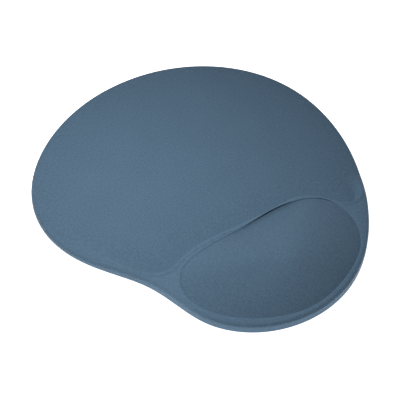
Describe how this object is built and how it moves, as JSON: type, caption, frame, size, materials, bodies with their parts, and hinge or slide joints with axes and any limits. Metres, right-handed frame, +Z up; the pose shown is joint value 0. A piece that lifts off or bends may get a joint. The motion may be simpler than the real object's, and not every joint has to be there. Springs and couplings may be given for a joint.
{
  "type": "wrist rest",
  "caption": "Rounded fabric mouse mat with a raised rim around a D-shaped, crowned gel wrist cushion.",
  "frame": {"origin": "bottom centre of the mat's bounding box, on the desk surface", "axes": "+Z up out of the desk, +Y from the wrist cushion to the far edge of the mouse area, +X to the user's right"},
  "size_m": [0.2062, 0.2338, 0.0151],
  "materials": {
    "base_rubber": "matt, fine moulded grip pattern",
    "bond_film": "satin hot-melt film",
    "foam": "matt, fine closed-cell foam",
    "mat_fabric": "matt, fine stretch knit",
    "cushion_fabric": "matt, fine stretch knit with a faint sheen",
    "gel_film": "smooth, glossy",
    "gel": "clear, glossy"
  },
  "bodies": {
    "root": {"nonslip_base": "base_rubber", "base_bond_film": "bond_film", "foam_body": "foam", "cover_bond_film": "bond_film", "top_cover": "mat_fabric", "wrist_cover": "cushion_fabric", "gel_upper_film": "gel_film", "gel_core": "gel", "gel_lower_film": "gel_film"}
  },
  "joints": []
}
